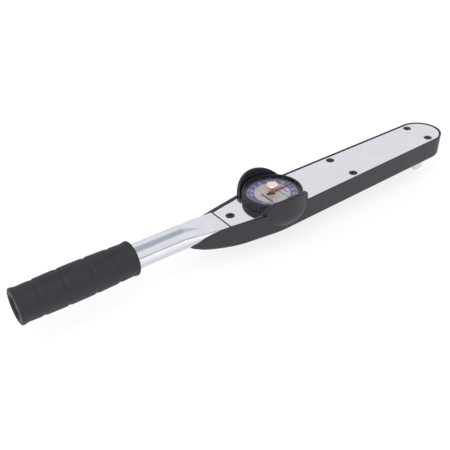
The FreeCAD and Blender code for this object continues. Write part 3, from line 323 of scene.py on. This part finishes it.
def make_piece(name, vertices, faces, finish, body, smooth=True):
    mesh = bpy.data.meshes.new(name)
    mesh.from_pydata(vertices, [], faces)
    mesh.validate()
    shell = bmesh.new()
    shell.from_mesh(mesh)
    bmesh.ops.recalc_face_normals(shell, faces=shell.faces)
    shell.to_mesh(mesh)
    shell.free()
    for polygon in mesh.polygons:
        polygon.use_smooth = smooth
    mesh.materials.append(finish.material)
    piece = bpy.data.objects.new(name, mesh)
    bpy.context.scene.collection.objects.link(piece)
    if body:
        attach(piece, body)
    return piece


def plates(outlines, low, high):
    """Vertices and faces of flat plates, one for each outline."""
    vertices, faces = [], []
    for outline in outlines:
        first, count = len(vertices), len(outline)
        vertices += [(x, y, low) for x, y in outline] + [(x, y, high) for x, y in outline]
        faces += [tuple(range(first, first + count)), tuple(range(first + count, first + 2 * count))]
        faces += [(first + k, first + (k + 1) % count, first + count + (k + 1) % count, first + count + k)
                  for k in range(count)]
    return vertices, faces


def lathe_grid(rings, around):
    """Faces of a closed grid of points that is rings long and around points round."""
    faces = []
    for i in range(rings):
        for j in range(around):
            a, b = i * around, (i + 1) % rings * around
            faces.append((a + j, a + (j + 1) % around, b + (j + 1) % around, b + j))
    return faces


# Dial ----------------------------------------------------------------------------

def dial_centre():
    low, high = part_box("dial_face")
    return Vector(((low.x + high.x) / 2, (low.y + high.y) / 2, high.z + PRINT_LIFT))


def on_dial(radius, degrees):
    """A point on the dial. Zero degrees is towards the head, and angles run anticlockwise from above."""
    centre = dial_centre()
    angle = math.radians(degrees)
    return centre.x + radius * math.cos(angle), centre.y + radius * math.sin(angle)


def make_scale_rings():
    """The violet band that carries the scale, and the dark surround outside it."""
    base = dial_centre().z
    rings = (("scale_ring", SCALE_INNER, SCALE_OUTER, "scale_violet"),
             ("scale_surround", SCALE_OUTER, SURROUND_OUTER, "scale_navy"))
    for name, inner, outer, finish in rings:
        vertices = []
        for radius, height in ((inner, 0), (outer, 0), (outer, PRINT_THICK), (inner, PRINT_THICK)):
            for k in range(RING_STEPS):
                x, y = on_dial(radius, 360 * k / RING_STEPS)
                vertices.append((x, y, base + height))
        faces = lathe_grid(4, RING_STEPS)
        ring = make_piece(name, vertices, faces, PRINT_FINISHES[finish], "bezel", False)


def scale_marks(torques):
    """Each torque with its place in degrees, on both sides of zero."""
    for torque in torques:
        for side in (1, -1) if torque else (1,):
            yield torque, side * torque / FULL_SCALE * FULL_SCALE_DEG


def radial_bar(inner, outer, degrees, half):
    """Outline of a thin bar that points at the dial's centre."""
    start, end = Vector(on_dial(inner, degrees)), Vector(on_dial(outer, degrees))
    side = Vector((start.y - end.y, end.x - start.x)).normalized() * half
    return [start - side, end - side, end + side, start + side]


def make_ticks():
    outlines = []
    for torque, degrees in scale_marks(range(0, FULL_SCALE + 1, TICK_STEP)):
        length, half = SHORT_TICK if torque % NUMBER_STEP else LONG_TICK
        outlines.append(radial_bar(SCALE_OUTER - length, SCALE_OUTER - TICK_MARGIN, degrees, half))
    low = dial_centre().z + PRINT_THICK
    vertices, faces = plates(outlines, low, low + PRINT_THICK)
    ticks = make_piece("scale_ticks", vertices, faces, PRINT_FINISHES["scale_white"], "bezel", False)


def make_numbers():
    """Scale numbers, upright as seen from the handle."""
    middle = dial_centre().z + 1.5 * PRINT_THICK
    joined = bmesh.new()
    for torque, degrees in scale_marks(range(0, FULL_SCALE, NUMBER_STEP)):
        curve = bpy.data.curves.new("number", "FONT")
        curve.body = str(torque)
        curve.size = NUMBER_HEIGHT
        curve.extrude = PRINT_THICK / 2
        curve.align_x = "CENTER"
        curve.align_y = "CENTER"
        text = bpy.data.objects.new("number", curve)
        bpy.context.scene.collection.objects.link(text)
        text.location = (*on_dial(NUMBER_R, degrees), middle)
        text.rotation_euler = (0, 0, -math.pi / 2)
        bpy.context.view_layer.update()
        posed = text.evaluated_get(bpy.context.evaluated_depsgraph_get())
        mesh = bpy.data.meshes.new_from_object(posed)
        mesh.transform(text.matrix_world)
        joined.from_mesh(mesh)
        bpy.data.objects.remove(text)
    result = bpy.data.meshes.new("scale_numbers")
    joined.to_mesh(result)
    joined.free()
    result.materials.clear()
    result.materials.append(PRINT_FINISHES["scale_white"].material)
    numbers = bpy.data.objects.new("scale_numbers", result)
    bpy.context.scene.collection.objects.link(numbers)
    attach(numbers, "bezel")


def make_bars():
    """Plain coloured bars printed on the silver disc."""
    centre = dial_centre()
    for name, finish, place, half, start, end in BARS:
        left, right = centre.x + (place - half) * MM, centre.x + (place + half) * MM
        outline = [(left, start * MM), (right, start * MM), (right, end * MM), (left, end * MM)]
        vertices, faces = plates([outline], centre.z, centre.z + PRINT_THICK)
        bar = make_piece(name, vertices, faces, PRINT_FINISHES[finish], "bezel", False)


# Grip ------------------------------------------------------------------------------

def grip_radius(s, angle):
    """Outer radius at s from the butt and angle round the axis."""
    radius = GRIP_NECK_R + (GRIP_BELLY_R - GRIP_NECK_R) * math.sin(math.pi * s / GRIP_LENGTH) ** 0.8
    for place in GRIP_GROOVES:
        away = abs(s - place) / GROOVE_HALF
        if away < 1:
            depth = GROOVE_DEPTH * (1 + math.cos(math.pi * away)) / 2
            # a groove is deepest at the sides and shallower above and below
            radius -= depth * (0.8 + 0.2 * math.cos(2 * angle))
    for end in (GRIP_LIP / 2, GRIP_LENGTH - GRIP_LIP / 2):
        away = abs(s - end) / (2 * GRIP_LIP)
        if away < 1:
            radius += (GRIP_LIP_R - GRIP_NECK_R) * (1 + math.cos(math.pi * away)) / 2
    to_end = min(s, GRIP_LENGTH - s)
    if to_end < GRIP_EDGE:
        radius -= GRIP_EDGE - math.sqrt(max(GRIP_EDGE ** 2 - (GRIP_EDGE - to_end) ** 2, 0))
    return radius


def make_grip():
    low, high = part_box("grip")
    axis = Vector((math.cos(GRIP_RISE), 0, -math.sin(GRIP_RISE)))
    butt = (low + high) / 2 - axis * (GRIP_LENGTH / 2)
    across = Vector((0, 1, 0))
    up = across.cross(axis)
    plug_low, plug_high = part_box("end_plug")
    plug_r = (plug_high.y - plug_low.y) / 2 + PLUG_GAP
    edge = [GRIP_EDGE * (1 - math.cos(math.pi / 2 * k / GRIP_EDGE_STEPS)) for k in range(GRIP_EDGE_STEPS)]
    straight = GRIP_LENGTH - 2 * GRIP_EDGE
    outside = edge + [GRIP_EDGE + straight * k / GRIP_ALONG for k in range(GRIP_ALONG + 1)]
    outside += [GRIP_LENGTH - s for s in reversed(edge)]
    # the bore, and the wider seat of the end plug at the butt
    inside = [(GRIP_LENGTH, GRIP_BORE_R), (PLUG_SEAT, GRIP_BORE_R), (PLUG_SEAT, plug_r), (0, plug_r)]
    vertices = []
    for s, bore in [(s, None) for s in outside] + inside:
        for j in range(GRIP_AROUND):
            angle = 2 * math.pi * j / GRIP_AROUND
            radius = bore or grip_radius(s, angle)
            out = across * math.cos(angle) + up * math.sin(angle)
            vertices.append(butt + axis * s + out * radius)
    faces = lathe_grid(len(outside) + len(inside), GRIP_AROUND)
    grip = make_piece("grip_rubber", vertices, faces, FINISHES["black_rubber"], "frame")
    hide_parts("grip")


# Hidden springs -----------------------------------------------------------------------

def capped_run(sections, around):
    """Faces of a closed bar whose points come in sections + 1 rounds of around points."""
    faces = []
    for k in range(sections):
        for j in range(around):
            a, b = around * k, around * (k + 1)
            faces.append((a + j, a + (j + 1) % around, b + (j + 1) % around, b + j))
    last = around * sections
    return faces + [tuple(range(around)), tuple(range(last, last + around))]


def make_bending_beam():
    """The beam, with enough sections to bend between the head and the load pins."""
    low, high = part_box("deflecting_beam")
    yoke_low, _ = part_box("yoke_pins")
    bottom, top = low.z + BEAM_EDGE, high.z - BEAM_EDGE
    vertices = []
    for k in range(BEAM_SECTIONS + 1):
        x = high.x + (low.x - high.x) * k / BEAM_SECTIONS
        taper = max(0.0, (yoke_low.x - x) / (yoke_low.x - low.x))
        half = high.y + (BEAM_REAR_HALF - high.y) * taper
        flat = half - BEAM_EDGE
        right = [(flat, low.z), (half, bottom), (half, top), (flat, high.z)]
        left = [(-y, z) for y, z in reversed(right)]
        vertices += [(x, y, z) for y, z in right + left]
    faces = capped_run(BEAM_SECTIONS, 8)
    beam = make_piece("bending_beam", vertices, faces, FINISHES["spring_steel"], None, False)
    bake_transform(beam)
    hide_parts("deflecting_beam")


def make_detent_coil():
    low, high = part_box("detent_spring")
    centre_y, centre_z = (low.y + high.y) / 2, (low.z + high.z) / 2
    radius = (high.y - low.y) / 2 - WIRE_R
    travel = high.x - low.x - 2 * WIRE_R
    along = Vector((1, 0, 0))
    count = COIL_TURNS * COIL_STEPS
    vertices = []
    for k in range(count + 1):
        angle = 2 * math.pi * k / COIL_STEPS
        out = Vector((0, math.cos(angle), math.sin(angle)))
        centre = Vector((low.x + WIRE_R + travel * k / count, centre_y, centre_z)) + out * radius
        for j in range(COIL_AROUND):
            turn = 2 * math.pi * j / COIL_AROUND
            vertices.append(centre + (out * math.cos(turn) + along * math.sin(turn)) * WIRE_R)
    faces = capped_run(count, COIL_AROUND)
    coil = make_piece("detent_coil", vertices, faces, FINISHES["spring_steel"], "drive_head")
    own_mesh(coil)
    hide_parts("detent_spring")


# Studio ---------------------------------------------------------------------------------

def place_camera():
    azimuth, elevation = math.radians(CAMERA_AZIMUTH), math.radians(CAMERA_ELEVATION)
    roll = math.radians(CAMERA_ROLL)
    level = math.cos(elevation)
    forward = Vector((level * math.cos(azimuth), level * math.sin(azimuth), -math.sin(elevation)))
    right = forward.cross(Z_AXIS).normalized()
    down = forward.cross(right)
    x_axis = right * math.cos(roll) + down * math.sin(roll)
    y_axis = right * math.sin(roll) - down * math.cos(roll)
    data = bpy.data.cameras.new("camera")
    data.lens = CAMERA_LENS
    data.sensor_width = 36.0
    camera = bpy.data.objects.new("camera", data)
    turned = Matrix((x_axis, y_axis, -forward)).transposed().to_4x4()
    camera.matrix_world = Matrix.Translation(CAMERA_PLACE) @ turned
    bpy.context.scene.collection.objects.link(camera)
    bpy.context.scene.camera = camera


def make_floor():
    """A wide pale floor that glows a little, so that shadows stay faint."""
    low = CAD_BOX[0][2] - FLOOR_GAP
    corners = ((-1, -1), (1, -1), (1, 1), (-1, 1))
    vertices = [(x * FLOOR_HALF, y * FLOOR_HALF, low) for x, y in corners]
    finish = Finish("floor", roughness=0.9, emission_strength=FLOOR_GLOW)
    finish.shader.inputs["Emission Color"].default_value = (1, 1, 1, 1)
    finish.colour(finish.spread(finish.noise(0.5), 0, 1), (0.30, 0.30, 0.30), (0.32, 0.32, 0.32))
    floor = make_piece("floor", vertices, [(0, 1, 2, 3)], finish, None, False)


def make_lights():
    world = bpy.data.worlds.new("studio")
    bpy.context.scene.world = world
    world.use_nodes = True
    tree = world.node_tree
    background = tree.nodes["Background"]
    coords = tree.nodes.new("ShaderNodeTexCoord")
    split = tree.nodes.new("ShaderNodeSeparateXYZ")
    ramp = tree.nodes.new("ShaderNodeValToRGB")
    tree.links.new(coords.outputs["Generated"], split.inputs["Vector"])
    tree.links.new(split.outputs["Z"], ramp.inputs["Fac"])
    tree.links.new(ramp.outputs["Color"], background.inputs["Color"])
    elements = ramp.color_ramp.elements
    while len(elements) < len(SKY):
        elements.new(0.5)
    for element, (position, colour) in zip(elements, SKY):
        element.position = position
        element.color = (*colour, 1)
    middle = Vector([(a + b) / 2 for a, b in zip(*CAD_BOX)])
    data = bpy.data.lights.new("key", "AREA")
    data.size = KEY_SIZE
    data.energy = KEY_WATTS
    lamp = bpy.data.objects.new("key", data)
    lamp.location = KEY_PLACE
    lamp.rotation_euler = (middle - lamp.location).to_track_quat("-Z", "Y").to_euler()
    bpy.context.scene.collection.objects.link(lamp)
    bpy.context.scene.view_settings.view_transform = "Standard"


place_camera()
make_floor()
make_lights()
dress_nodes()
make_scale_rings()
make_ticks()
make_numbers()
make_bars()
make_grip()
make_bending_beam()
make_detent_coil()
